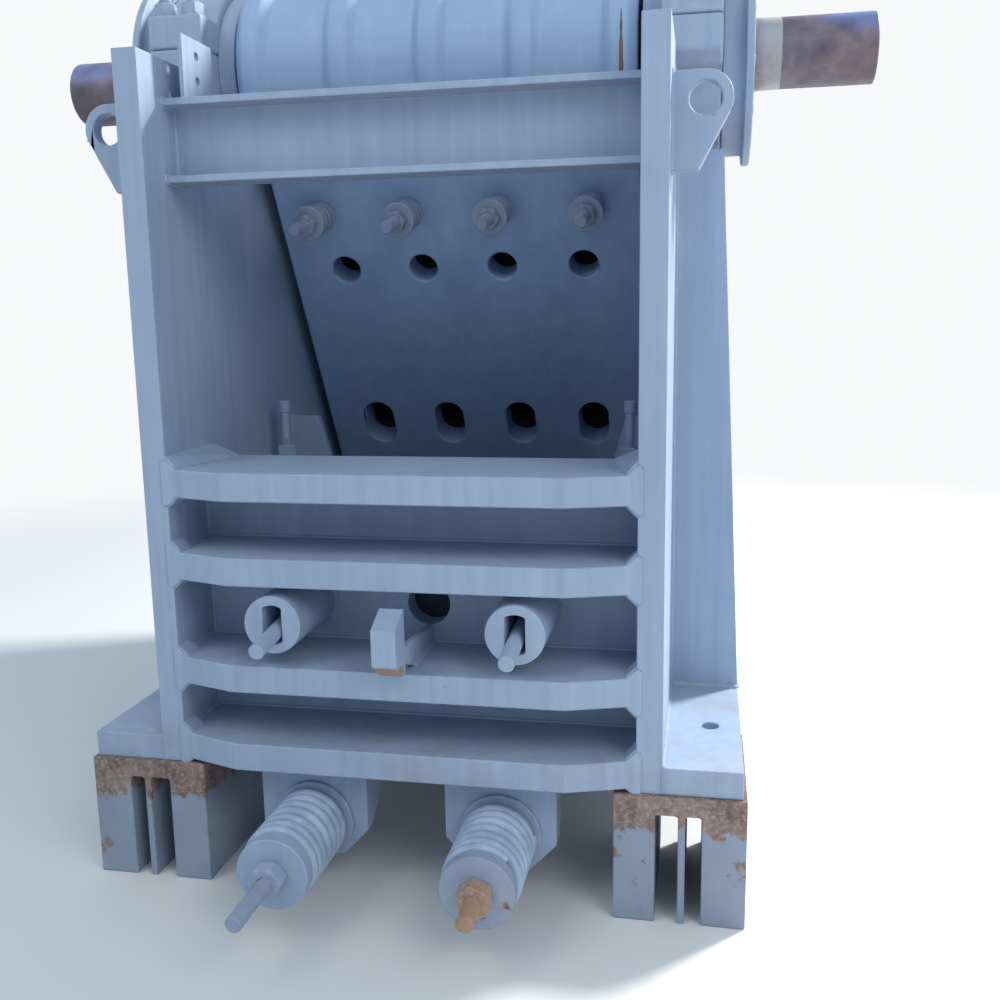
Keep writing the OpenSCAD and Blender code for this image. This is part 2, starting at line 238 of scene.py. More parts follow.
# edge is in mm, castDepth the height of the casting's grain in mm, splash two heights in metres
paintLook = {"chips": 0.5, "dust": 0.08, "castDepth": 0.0, "edge": 3.5, "splash": (0.34, 0.6),
             "rustTone": "rustDark", "tones": ("paintDark", "paint", "paintPale")}


def paintFinish(name, **change):
    # light blue grey brushed paint on plate, dusty on top and rusting at chipped edges
    look = {**paintLook, **change}
    f = Finish(name, Metallic=0.0, Specular_IOR_Level=0.42)
    patches = f.noise(1.3, 3)
    mottle = f.noise(9, 3)
    strokes = f.noise(3.0, 3, stretch=(11, 11, 0.5))
    fine = f.noise(150, 2)
    tone = patches * 0.35 + mottle * 0.2 + strokes * 0.45
    body = f.add("ValToRGB", {"stops": list(zip((0.28, 0.5, 0.74), map(shade, look["tones"])))},
                 {"Fac": tone})
    edge = f.edges(look["edge"] * mm)
    # paler edges: partly rubbed paint, partly a painted highlight along the edges
    rubbed = (edge * mottle).rise(0.3, 0.62)
    body = f.mix(rubbed * 0.35, body, shade("paintPale"))
    facing = f.axis(f.normal, "Z")
    up = facing.rise(0.5, 0.95)
    low = 1 - f.axis(f.place, "Z").rise(*look["splash"])
    settled = (f.noise(6, 4) + fine * 0.35).rise(0.46, 0.86)
    # faces turned down are darkened and warmed: painted shade with the brown of light bounced up from
    # the ground
    body = f.mix((1 - facing.rise(-0.9, -0.5)) * mottle * 0.5, body, shade("earth"))
    body = f.mix(up * settled * look["dust"], body, shade("dust"))
    body = f.mix(low * mottle.rise(0.42, 0.78) * 0.3, body, shade("earth"))
    runs = f.noise(1.0, 3, stretch=(30, 30, 1.3)).rise(0.6, 0.78) * patches.rise(0.5, 0.72)
    body = f.mix(runs * 0.12, body, shade("dust"))
    flakes = (edge * f.noise(27, 4, rough=0.7)).rise(0.57, 0.6)
    spots = f.noise(17, 5, rough=0.72).rise(0.74, 0.755)
    bare = flakes.most(spots) * look["chips"]
    for centre, size in look.get("rust", ()):
        bare = bare.most(f.near(centre, size))
    rusty = f.mix(f.noise(70, 2), shade(look["rustTone"]), shade("rustPale"))
    f.set(Base_Color=f.mix(bare, body, rusty))
    f.set(Roughness=0.46 + mottle * 0.16 + up * settled * 0.25 + bare * 0.25)
    layers = [(mottle, 0.5 * mm), (strokes, 0.35 * mm), (fine, 0.1 * mm)]
    if look["castDepth"]:
        layers.insert(0, (f.noise(38, 5), look["castDepth"] * mm))
    f.bump(*layers)
    return f.material


def rustFinish(name, pale=0.35, paint=0.0, scale=1.0, edge=7, worn=0.0,
               tones=("rustDark", "rust", "rustPale")):
    # bare rusted steel, with what is left of the paint over it
    f = Finish(name, Specular_IOR_Level=0.35)
    broad = f.noise(7 * scale, 8, rough=0.62)
    grain = f.noise(90 * scale, 6, rough=0.7)
    dark, middle, light = map(shade, tones)
    deep = f.mix(broad.rise(0.35, 0.65), dark, middle)
    rusty = f.mix(grain.rise(0.45, 0.8) * pale * 2, deep, light)
    rim = f.edges(edge * mm)
    rusty = f.mix(rim * worn, rusty, shade("rustTan"))
    flake = f.noise(5 * scale, 9, rough=0.68)
    left = (flake - rim * 0.2).rise(0.52 - paint * 0.2, 0.56 - paint * 0.2) * min(1, paint * 4)
    coat = f.mix(f.noise(21, 6), shade("paintDark"), shade("paint"))
    f.set(Base_Color=f.mix(left * 0.85, rusty, coat))
    f.set(Roughness=0.82 - left * 0.22 - broad * 0.1, Metallic=(1 - left) * 0.18)
    f.bump((broad, 0.9 * mm), (grain, 0.5 * mm), (flake, 0.5 * mm))
    return f.material


standLook = {"rustFrom": 0.2, "rustFull": 0.31, "rust": (104, 84, 78), "rustMiddle": (138, 116, 110),
             "rustLight": (176, 162, 156), "coatDark": (122, 134, 152), "coat": (152, 164, 182)}


def standFinish(name):
    # old painted legs, rusting down from the cap
    f = Finish(name, Specular_IOR_Level=0.3)
    height = f.axis(f.place, "Z")
    broad = f.noise(8, 9, rough=0.66)
    grain = f.noise(90, 6, rough=0.7)
    tone = {name: colour(*standLook[name])
            for name in ("rust", "rustMiddle", "rustLight", "coatDark", "coat")}
    deep = f.mix(f.noise(14, 7).rise(0.35, 0.65), tone["rust"], tone["rustMiddle"])
    rusty = f.mix(grain.rise(0.4, 0.75) * 0.8, deep, tone["rustLight"])
    coat = f.mix(f.noise(6, 6), tone["coatDark"], tone["coat"])
    coat = f.mix(grain.rise(0.55, 0.8) * 0.35, coat, shade("rustPale"))
    reach = height.rise(standLook["rustFrom"], standLook["rustFull"]) * 0.34
    flaky = f.noise(34, 9, rough=0.72) - 0.5
    bare = (broad + flaky * 0.35 + reach + f.edges(6 * mm) * 0.1).rise(0.61, 0.66)
    f.set(Base_Color=f.mix(bare, coat, rusty), Roughness=0.6 + bare * 0.25)
    f.bump((broad, 0.8 * mm), (grain, 0.4 * mm), (1 - flaky, 0.5 * mm))
    return f.material


# places are distances from the middle of the shaft and heights above the ground, in metres
shaftLook = {"sealed": (0.86, 0.905), "bandEnd": 0.938, "paintedSheenFrom": 1.04, "top": 2.23,
             "sheen": (104, 128, 184), "brown": ((78, 74, 90), (106, 98, 112), (138, 124, 126)),
             "stain": (104, 72, 62), "band": ((152, 151, 150), (184, 186, 188)),
             "shadow": (92, 98, 112), "rim": (186, 160, 136)}


def shaftFinish(name):
    # turned steel: overspray next to the bearing, then thin brown rust with a painted blue sheen along
    # the top
    f = Finish(name, Specular_IOR_Level=0.5)
    across = abs(f.axis(f.place, "X"))
    height = f.axis(f.place, "Z")
    ragged = across + (f.noise(13, 6) - 0.5) * 0.006
    turned = f.noise(1.0, 4, stretch=(420, 5, 5))
    blotch = f.noise(9, 8, rough=0.65)
    speck = f.noise(120, 5, rough=0.7)
    browns = [colour(*one) for one in shaftLook["brown"]]
    brown = f.add("ValToRGB", {"stops": list(zip((0.32, 0.5, 0.7), browns))}, {"Fac": blotch})
    under = 1 - (height - shaftLook["top"]).rise(-0.12, 0.0)
    brown = f.mix(under * f.noise(5, 5).rise(0.4, 0.65) * 0.5, brown, colour(*shaftLook["stain"]))
    top = (height - shaftLook["top"]).rise(-0.02, 0.03)
    # painted blue sheen along the top of the shaft end
    sheen = top * (across - shaftLook["paintedSheenFrom"]).rise(-0.03, 0.05) * f.noise(6, 4).rise(0.3, 0.55)
    brown = f.mix(sheen * 0.8, brown, colour(*shaftLook["sheen"]))
    brown = f.mix(speck.rise(0.62, 0.78) * 0.4, brown, shade("rustDark"))
    pale = f.mix(f.noise(26, 7), *(colour(*one) for one in shaftLook["band"]))
    pale = f.mix(under * f.noise(7, 8).rise(0.45, 0.65) * 0.7, pale, shade("rustPale"))
    pale = f.mix((1 - across.rise(*shaftLook["sealed"])) * 0.55, pale, colour(*shaftLook["shadow"]))
    outer = ragged.rise(shaftLook["bandEnd"] - 0.001, shaftLook["bandEnd"] + 0.002)
    rim = f.edges(5 * mm)
    brown = f.mix(rim * 0.7, brown, colour(*shaftLook["rim"]))
    f.set(Base_Color=f.mix(outer, pale, brown), Metallic=outer * 0.3,
          Roughness=0.6 - outer * (0.2 - blotch * 0.2) - sheen * 0.06)
    f.bump((turned, 0.06 * mm), (speck, 0.1 * mm), (blotch, 0.3 * mm))
    return f.material


dieLook = {"dark": (78, 72, 68), "light": (118, 104, 92), "rubbed": 14}


def dieFinish(name):
    # manganese castings, dark with rock dust, the crests rubbed bright
    f = Finish(name, Specular_IOR_Level=0.5)
    broad = f.noise(6, 8)
    grain = f.noise(75, 6, rough=0.7)
    body = f.mix(broad.rise(0.35, 0.68), colour(*dieLook["dark"]), colour(*dieLook["light"]))
    body = f.mix(f.noise(2.4, 6).rise(0.5, 0.7) * 0.55, body, shade("rust"))
    rubbed = f.edges(dieLook["rubbed"] * mm) * f.noise(12, 5).rise(0.35, 0.6)
    body = f.mix(rubbed * 0.6, body, shade("bareSteel"))
    body = f.mix(f.axis(f.normal, "Z").rise(0.3, 0.9) * 0.5, body, shade("dust"))
    f.set(Base_Color=body, Metallic=0.35 + rubbed * 0.4, Roughness=0.68 - rubbed * 0.28)
    f.bump((broad, 1.6 * mm), (grain, 0.6 * mm))
    return f.material


def darkFinish(name, low, high):
    # dark colour for parts seen deep inside, a painted shade
    f = Finish(name, Specular_IOR_Level=0.2)
    f.set(Base_Color=f.mix(f.noise(12, 6), colour(*low), colour(*high)),
          Roughness=0.9 - f.noise(30, 3) * 0.1)
    f.bump((f.noise(30, 5), 1.2 * mm))
    return f.material


springLook = {"pale": (172, 190, 212), "dirtFrom": 0.1, "dirtTo": 0.22}


def springFinish(name):
    # painted coils, the grooves between the turns dark with rust and a painted shade
    f = Finish(name, Specular_IOR_Level=0.4)
    mottle = f.noise(14, 6)
    body = f.mix(mottle.rise(0.35, 0.65), shade("paint"), colour(*springLook["pale"]))
    grooveShade = f.add("NewGeometry", output="Pointiness").rise(0.43, 0.47)
    rusty = f.mix(f.noise(60, 6), shade("rustDark"), shade("rust"))
    worn = f.noise(24, 9, rough=0.7).rise(0.66, 0.69)
    body = f.mix(worn * 0.55, body, rusty)
    under = 1 - f.axis(f.place, "Z").rise(springLook["dirtFrom"], springLook["dirtTo"])
    body = f.mix(under * f.noise(9, 5).rise(0.35, 0.7) * 0.5, body, shade("earth"))
    # painted shade with rust colour in the grooves between the turns
    body = f.mix((1 - grooveShade) * 0.75, body, shade("rustDark"))
    f.set(Base_Color=body, Roughness=0.55 + worn * 0.25)
    f.bump((mottle, 0.8 * mm), (f.noise(90, 4), 0.25 * mm), (1 - worn, 0.3 * mm))
    return f.material


finishes = {
    "plate": paintFinish("platePaint"),
    "washerRight": rustFinish("washerSteel", pale=0.6, paint=0.85, scale=3.0, edge=2,
                              tones=("rust", "rustPale", "rustTan")),
    "washerLeft": paintFinish("washerPaint", chips=0.5, edge=2.5, dust=0.3),
    "nutRight": rustFinish("nutSteel", pale=0.6, worn=0.8, edge=4,
                           tones=("rustPale", "rustTan", "dust")),
    "rodRight": rustFinish("rodSteel", pale=0.5, worn=0.5, edge=2,
                           tones=("rustPale", "rustTan", "bareSteel")),
    "rodLeft": rustFinish("rodPaint", pale=0.6, paint=0.7, scale=2.0, edge=1),
    "spring": springFinish("springPaint"),
    "cast": paintFinish("castPaint", castDepth=1.3, edge=7, chips=0.3, dust=0.3),
    # the barrel's paint is tinted blue and lighter: painted sky light
    "barrel": paintFinish("barrelPaint", castDepth=1.3, edge=7, chips=0.3,
                          tones=("jaw", "barrel", "barrelPale"),
                          rust=[((0.52, -0.56, 2.12), (0.006, 0.1, 0.16))]),
    "eye": paintFinish("eyePaint", rust=[((0.743, -0.95, 2.009), (0.02, 0.04, 0.006))]),
    "small": paintFinish("fittingPaint", edge=2.5, chips=0.8, dust=0.2),
    # the jaw bolts' paint is darkened: painted shade
    "jawBolt": paintFinish("jawBoltPaintShaded", edge=2.5, chips=0.8,
                           tones=("boltShadeDark", "bolt", "boltShadePale")),
    "hook": paintFinish("hookPaint", chips=0.6, rustTone="rustTan",
                        rust=[((0.011, -1.155, 0.655), (0.06, 0.05, 0.022))]),
    "stand": standFinish("standSteel"),
    "shaft": shaftFinish("shaftSteel"),
    # the jaw's paint is tinted blue: painted sky light
    "jaw": paintFinish("jawPaint", castDepth=1.0, edge=6, chips=0.3, dust=0.2,
                       tones=("jawDark", "jaw", "jawPale"),
                       rust=[((0.036, -0.56, 1.865), (0.016, 0.03, 0.01))]),
    "die": dieFinish("dieSteel"),
    # the jaw's hollows and the toggle block seen through the jack hole get dark colours: painted shade
    "hollow": darkFinish("jawHollowShade", (58, 54, 62), (98, 90, 98)),
    "block": darkFinish("blockSteel", (48, 56, 72), (70, 80, 98)),
    "weld": paintFinish("weldPaint", castDepth=0.8, edge=4, chips=0.5),
}
print("finishes made:", len(finishes))


# meshes

def plainMesh(node):
    # a CAD node's mesh with its flat faces joined up
    bm = bmesh.new()
    bm.from_mesh(frame["nodes"][node].data)
    bmesh.ops.remove_doubles(bm, verts=bm.verts, dist=0.02 * mm)
    bmesh.ops.dissolve_limit(bm, angle_limit=math.radians(0.3), verts=bm.verts, edges=bm.edges)
    bm.normal_update()
    return bm


def solids(node):
    # the separate solids of a node, as lists of points
    bm = plainMesh(node)
    met = set()
    found = []
    for first in bm.verts:
        if first in met:
            continue
        met.add(first)
        reached = [first]
        for vert in reached:
            for edge in vert.link_edges:
                other = edge.other_vert(vert)
                if other not in met:
                    met.add(other)
                    reached.append(other)
        found.append([v.co.copy() for v in reached])
    bm.free()
    return sorted(found, key=lambda points: [round(c, 3) for c in limits(points)[0]])


def limits(points):
    low = Vector([min(p[i] for p in points) for i in range(3)])
    high = Vector([max(p[i] for p in points) for i in range(3)])
    return low, high


def newObject(name, bm, finish, sharp):
    mesh = bpy.data.meshes.new(name)
    bmesh.ops.remove_doubles(bm, verts=bm.verts, dist=0.01 * mm)
    bmesh.ops.recalc_face_normals(bm, faces=bm.faces)
    bm.to_mesh(mesh)
    bm.free()
    for one in finish if isinstance(finish, (list, tuple)) else [finish]:
        mesh.materials.append(finishes[one])
    mesh.polygons.foreach_set("use_smooth", [True] * len(mesh.polygons))
    mesh.set_sharp_from_angle(angle=math.radians(sharp))
    piece = bpy.data.objects.new(name, mesh)
    bpy.context.collection.objects.link(piece)
    return piece


def newPiece(name, bm, finish, body, sharp=35):
    piece = newObject(name, bm, finish, sharp)
    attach(piece, body)
    return piece


def softEdges(piece, width, steps=2):
    # plate and casting edges are never sharp
    rounding = piece.modifiers.new("edges", "BEVEL")
    rounding.width = width * mm
    rounding.segments = steps
    rounding.limit_method = "ANGLE"
    rounding.angle_limit = math.radians(28)
    rounding.use_clamp_overlap = False
    rounding.harden_normals = True
    rounding.miter_outer = "MITER_ARC"
    return piece


def camel(name):
    first, *rest = name.split("_")
    return first + "".join(word.capitalize() for word in rest)


nodeBody = {node: body for body, members in frame["record"]["behaviour"]["bodies"].items()
            for node in members}


def dress(node, finish, width, steps, sharp):
    piece = newPiece(camel(node), plainMesh(node), finish, nodeBody[node], sharp)
    softEdges(piece, width, steps)
    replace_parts(piece, node)
    return piece


# plates and castings that keep their CAD shape: finish, edge rounding in mm, steps
dressed = {
    "plate": {"side_plate_left": 3, "side_plate_right": 3, "outer_ribs_left": 3,
              "outer_ribs_right": 3, "rear_feet": 4, "front_feet": 4, "top_crossbeam": 3,
              "rear_wall": 3, "rear_ribs": 5, "post_gussets": 2, "slotted_tubes": 3,
              "hold_down_ears": 2, "side_gussets": 3, "bracket_plate": 1.5,
              "front_wall": 3, "front_ribs": 4, "block_guides": 2, "spring_brackets": 2,
              "rod_lugs": 4},
    "eye": {"lifting_lugs": 4},
    "cast": {"bearing_bases": 9, "bearing_caps": 9, "bearing_covers": 5, "seal_rings": 3},
    "barrel": {"pitman_barrel": 6},
    "hook": {"jack_bracket": 3},
    "stand": {"rear_stands": 3, "front_stands": 3},
    "shaft": {"eccentric_shaft": 4},
    "die": {"fixed_jaw_die": 6, "moving_jaw_die": 6, "cheek_plates": 4, "toggle_seat": 3,
            "toggle_plate": 4},
    "block": {"toggle_block": 6},
}
for finish, group in dressed.items():
    for node, width in group.items():
        cast = finish in ("cast", "barrel")
        dress(node, finish, width, 3 if cast else 2, 35 if cast else 12)
print("plates and castings dressed")


def lathe(bm, profile, matrix, steps=48):
    # profile is a list of (radius, height) up the local Z axis, closed where radius is 0
    rings = []
    for radius, height in profile:
        if radius <= 0:
            rings.append([bm.verts.new(matrix @ Vector((0, 0, height)))])
        else:
            rings.append([bm.verts.new(matrix @ Vector((radius * math.cos(a), radius * math.sin(a),
                                                        height)))
                          for a in (2 * math.pi * i / steps for i in range(steps))])
    joinRings(bm, rings)


def joinRings(bm, rings):
    for low, high in zip(rings, rings[1:]):
        count = max(len(low), len(high))
        for i in range(count):
            j = (i + 1) % count
            corners = [low[i % len(low)], low[j % len(low)], high[j % len(high)],
                       high[i % len(high)]]
            bm.faces.new([v for n, v in enumerate(corners) if v not in corners[:n]])


def hexNut(bm, across, height, bore, matrix):
    # six flats, both ends turned off round
    flat = across / 2
    steps = 48

    def ring(limit, level):
        points = []
        for i in range(steps):
            a = 2 * math.pi * i / steps
            six = flat / math.cos((a % (math.pi / 3)) - math.pi / 6)
            r = min(six, limit)
            points.append(bm.verts.new(matrix @ Vector((r * math.cos(a), r * math.sin(a), level))))
        return points

    cut = (1 / math.cos(math.pi / 6) - 0.97) * flat * math.tan(math.radians(30))
    ends = [(bore, 0), (flat * 0.97, 0), (flat * 1.07, cut * 0.62), (flat * 2, cut)]
    rings = [ring(limit, level) for limit, level in ends]
    rings += [ring(limit, height - level) for limit, level in reversed(ends)]
    joinRings(bm, rings)
    joinRings(bm, [rings[-1], rings[0]])


def threaded(radius, start, end, pitch):
    # outline of a threaded length with a chamfered end
    count = max(1, int((end - start - radius * 0.25) / pitch))
    outline = [(0, start), (radius, start)]
    for i in range(count):
        outline += [(radius, start + (i + 0.1) * pitch),
                    (radius - pitch * 0.45, start + (i + 0.55) * pitch)]
    return outline + [(radius, start + count * pitch + pitch * 0.1), (radius, end - radius * 0.22),
                      (radius * 0.8, end), (0, end)]


def pointing(place, direction, spin=0.0):
    # matrix that sets local Z along a direction
    turn = direction.to_track_quat("Z", "Y").to_matrix().to_4x4()
    return Matrix.Translation(place) @ turn @ Matrix.Rotation(spin, 4, "Z")


capBolts = {"across": 55, "height": 32, "stud": 17, "pitch": 4, "washer": 36, "washerThick": 5}


def makeCapBolts():
    bm = bmesh.new()
    across, height, stud, pitch, wide, thick = (size * mm for size in capBolts.values())
    for points in solids("cap_nuts"):
        low, high = limits(points)
        foot = Vector(((low.x + high.x) / 2, (low.y + high.y) / 2, low.z))
        here = pointing(foot, zAxis, noise.noise(foot * 9) * 3)
        lathe(bm, [(0, 0), (wide, 0), (wide, thick), (0, thick)], here)
        hexNut(bm, across, height, stud, here @ Matrix.Translation((0, 0, thick)))
        lathe(bm, threaded(stud, thick, high.z - low.z, pitch), here, 24)
    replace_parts(newPiece("capNuts", bm, "small", "frame"), "cap_nuts")


# lengths count from the buried end, along the bolt
jawBolts = {"drop": 14, "length": 270, "stud": 18, "pitch": 4, "across": 56, "nut": 32,
            "nutFrom": 150, "washers": (50, 47), "washerThick": 10, "discFrom": 26, "discs": 6,
            "discOut": 44, "sleeve": 33, "sleeveFrom": -24}


def makeJawBolts():
    b = jawBolts
    away = Vector((0, -math.cos(math.radians(b["drop"])), -math.sin(math.radians(b["drop"]))))
    studs, springs = bmesh.new(), bmesh.new()
    for points in solids("jaw_bolts"):
        reach = max(p.dot(away) for p in points)
        tip = [p for p in points if reach - p.dot(away) < 0.6 * mm]
        end = sum(tip, Vector()) / len(tip)
        base = end - away * b["length"] * mm
        here = pointing(base, away, base.x * 7)
        top = b["nutFrom"]
        lathe(studs, threaded(b["stud"] * mm, (top - 8) * mm, b["length"] * mm, b["pitch"] * mm),
              here, 28)
        hexNut(studs, b["across"] * mm, b["nut"] * mm, b["stud"] * mm,
               here @ Matrix.Translation((0, 0, top * mm)))
        for i, wide in enumerate(b["washers"]):
            z = (top - (i + 1) * (b["washerThick"] + 1)) * mm
            r, t = wide * mm, b["washerThick"] * mm
            lathe(studs, [(0, z), (r - 1.5 * mm, z), (r, z + 1.5 * mm), (r, z + t - 1.5 * mm),
                          (r - 1.5 * mm, z + t), (0, z + t)], here, 64)
        low, high = b["sleeveFrom"] * mm, (top - 2 * (b["washerThick"] + 1)) * mm
        stack = (high - b["discFrom"] * mm) / b["discs"]
        lathe(springs, [(0, low), (b["sleeve"] * mm, low), (b["sleeve"] * mm, high), (0, high)], here)
        for i in range(b["discs"]):   # stacked disc springs, turned about in pairs
            z = b["discFrom"] * mm + i * stack
            wide, close = (z + stack * 0.3, z) if i % 2 else (z, z + stack * 0.3)
            lathe(springs, [(0, close), (b["sleeve"] * mm, close), (b["discOut"] * mm, wide),
                            (b["discOut"] * mm, wide + stack * 0.5),
                            (b["sleeve"] * mm, close + stack * 0.5), (0, close + stack * 0.5)], here)
    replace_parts(newPiece("jawBolts", studs, "jawBolt", "jaw"), "jaw_bolts")
    newPiece("jawBoltSprings", springs, "jawBolt", "jaw")


holdDown = {"rod": 14, "across": 52, "nut": 38, "head": 18, "headLength": 35, "chamfer": 3,
            "pitch": 3, "threadOver": 70}


def makeHoldDowns():
    bm = bmesh.new()
    h = holdDown
    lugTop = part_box("hold_down_ears")[1].z
    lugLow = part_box("hold_down_ears")[0].z
    for points in solids("hold_down_rods"):
        low, high = limits(points)
        foot = Vector(((low.x + high.x) / 2, (low.y + high.y) / 2, low.z))
        here = pointing(foot, zAxis)
        tall = high.z - low.z
        neck = tall - h["headLength"] * mm
        over = lugTop - low.z + h["threadOver"] * mm
        rod, head, cut = (h[k] * mm for k in ("rod", "head", "chamfer"))
        lathe(bm, threaded(rod, 0, over, h["pitch"] * mm), here, 24)
        lathe(bm, [(0, over - 10 * mm), (rod, over - 10 * mm), (rod, neck), (head, neck + 2 * mm),
                   (head, tall - cut), (head - cut, tall), (0, tall)], here, 32)
        for level in (lugTop, lugLow - h["nut"] * mm):
            hexNut(bm, h["across"] * mm, h["nut"] * mm, h["rod"] * mm,
                   here @ Matrix.Translation((0, 0, level - low.z)))
    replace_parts(newPiece("holdDownRods", bm, "small", "frame"), "hold_down_rods")


coverScrews = {"count": 12, "circle": 250, "head": 13, "socket": 6, "proud": 2.5}


def makeCoverScrews():
    # sunk screws round the cover rim, their heads almost flush
    bm = bmesh.new()
    c = coverScrews
    low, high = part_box("bearing_covers")
    middle = (low + high) / 2
    head, socket, proud = (c[k] * mm for k in ("head", "socket", "proud"))
    for side in (-1, 1):
        for i in range(c["count"]):
            a = 2 * math.pi * (i + 0.5) / c["count"]
            spot = Vector((side * high.x, middle.y + c["circle"] * mm * math.cos(a),
                           middle.z + c["circle"] * mm * math.sin(a)))
            lathe(bm, [(0, -mm), (head, -mm), (head, proud - mm), (head - mm, proud),
                       (socket, proud), (socket, 0), (0, 0)], pointing(spot, xAxis * side, a), 24)
    newPiece("coverScrews", bm, "small", "frame")


rodEnd = {"across": 74, "nut": 45, "pitch": 5, "washerEdge": 3,
          "looks": {"Left": ("washerLeft", "washerLeft", "rodLeft"),
                    "Right": ("washerRight", "nutRight", "rodRight")}}


def makeRodEnds():
    # washer, nut and threaded end of each tension rod, outside the spring
    r = rodEnd
    rodSolids = solids("tension_rods")
    for points, rod, (side, looks) in zip(solids("rod_nuts"), rodSolids, r["looks"].items()):
        washers, nuts, rods = bmesh.new(), bmesh.new(), bmesh.new()
        low, high = limits(points)
        rodLow, rodHigh = limits(rod)
        middle = (rodLow + rodHigh) / 2
        wide = (high.z - low.z) / 2
        radius = (rodHigh.z - rodLow.z) / 2
        face = Vector((middle.x, high.y, middle.z))
        here = pointing(face, -yAxis, 0.4 + middle.x)
        thick = high.y - low.y - r["nut"] * mm
        e = r["washerEdge"] * mm
        lathe(washers, [(0, 0), (wide - e, 0), (wide, e), (wide, thick - e), (wide - e, thick),
                        (0, thick)], here, 80)
        hexNut(nuts, r["across"] * mm, r["nut"] * mm, radius,
               here @ Matrix.Translation((0, 0, thick)))
        tip = high.y - rodLow.y
        inner = high.y - rodHigh.y
        lathe(rods, threaded(radius, thick - 5 * mm, tip, r["pitch"] * mm), here, 32)
        lathe(rods, [(0, inner), (radius, inner), (radius, thick), (0, thick)], here, 40)
        names = ["rodWasher" + side, "rodNut" + side, "tensionRod" + side]
        made = [newPiece(name, bm, look, "jaw")
                for name, bm, look in zip(names, (washers, nuts, rods), looks)]
        if side == "Left":
            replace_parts(made[0], "rod_nuts")
            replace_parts(made[2], "tension_rods")


pullRods = {"radius": 20, "chamfer": 2.5}


def makePullRods():
    # the setting rods droop, so each runs between the middles of its two ends
    bm = bmesh.new()
    radius, chamfer = (pullRods[k] * mm for k in ("radius", "chamfer"))
    for points in solids("adjusting_rods"):
        low, high = limits(points)
        root = [p for p in points if high.y - p.y < 0.2 * mm]
        start = sum(root, Vector()) / len(root)
        tip = [p for p in points if p.y < low.y + 6 * mm]
        end = sum(tip, Vector()) / len(tip)
        length = (end - start).length
        lathe(bm, [(0, 0), (radius, 0), (radius, length - chamfer), (radius - chamfer, length),
                   (0, length)], pointing(start, (end - start).normalized()), 40)
    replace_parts(newPiece("adjustingRods", bm, "small", "setting_block"),
                "adjusting_rods")


springCoil = {"turns": 6.9, "thick": 31, "deep": 36, "start": 0.8, "flatEnds": 0.028,
              "uneven": 0.006, "around": 60, "section": 14, "square": 1.08,
              "seatOut": 108, "seatHole": 40, "seatThick": 14}


def makeSprings():
    s = springCoil
    low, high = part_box("coil_springs")
    outer = (high.z - low.z) / 2
    seats = bmesh.new()
    for name, side in (("springLeft", -1), ("springRight", 1)):
        bm = bmesh.new()
        centre = Vector((side * (high.x - outer), 0, (low.z + high.z) / 2))
        nearEnd, farEnd = low.y, high.y - s["seatThick"] * mm
        travel = farEnd - nearEnd - s["thick"] * mm * 0.7
        radius = outer - s["deep"] * mm / 2
        count = int(s["turns"] * s["around"])
        rings = []
        for i in range(count + 1):
            t = i / count
            a = 2 * math.pi * s["turns"] * t + side * s["start"]
            # the end turns lie flat against their seats
            eased = t - s["flatEnds"] * math.sin(2 * math.pi * t)
            y = nearEnd + s["thick"] * mm * 0.35 + travel * eased
            wobble = 1 + s["uneven"] * noise.noise(Vector((a * 0.7, side, 0)))
            ring = []
            for k in range(s["section"]):
                b = 2 * math.pi * k / s["section"]
                # bar rolled slightly square
                square = 1 / (abs(math.cos(b)) ** 3 + abs(math.sin(b)) ** 3) ** (1 / 3)
                fuller = min(square, s["square"])
                r = radius * wobble + s["deep"] * mm / 2 * math.cos(b) * fuller
                dy = s["thick"] * mm / 2 * math.sin(b) * fuller
                ring.append(bm.verts.new((centre.x + r * math.cos(a),
                                          min(max(y + dy, nearEnd), farEnd),
                                          centre.z + r * math.sin(a))))
            rings.append(ring)
        for first, second in zip(rings, rings[1:]):
            for k in range(s["section"]):
                j = (k + 1) % s["section"]
                bm.faces.new((first[k], first[j], second[j], second[k]))
        bm.faces.new(rings[0])
        bm.faces.new(rings[-1])
        spring = newSpring(name, bm)
        if side < 0:
            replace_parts(spring, "coil_springs")
        here = pointing(Vector((centre.x, high.y, centre.z)), -yAxis)
        out, thick, hole = (s[k] * mm for k in ("seatOut", "seatThick", "seatHole"))
        lathe(seats, [(hole, 0), (out - 2 * mm, 0), (out, 2 * mm), (out, thick - 2 * mm),
                      (out - 2 * mm, thick), (hole, thick), (hole, 0)], here, 80)
    newPiece("springSeats", seats, "small", "frame")


def newSpring(name, bm):
    # the spring, lying between its seat on the frame and the washer on the jaw's rod, as an object of
    # its own with its place baked into the mesh
    piece = newObject(name, bm, "spring", sharp=50)
    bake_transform(piece)
    return piece


makeCapBolts()
makeJawBolts()
makeHoldDowns()
makeCoverScrews()
makeRodEnds()
makePullRods()
makeSprings()
print("bolts, rods and springs made")


# welds

weldBead = {"leg": 7, "footLeg": 12, "ripple": 6, "uneven": 0.14, "sides": 7}

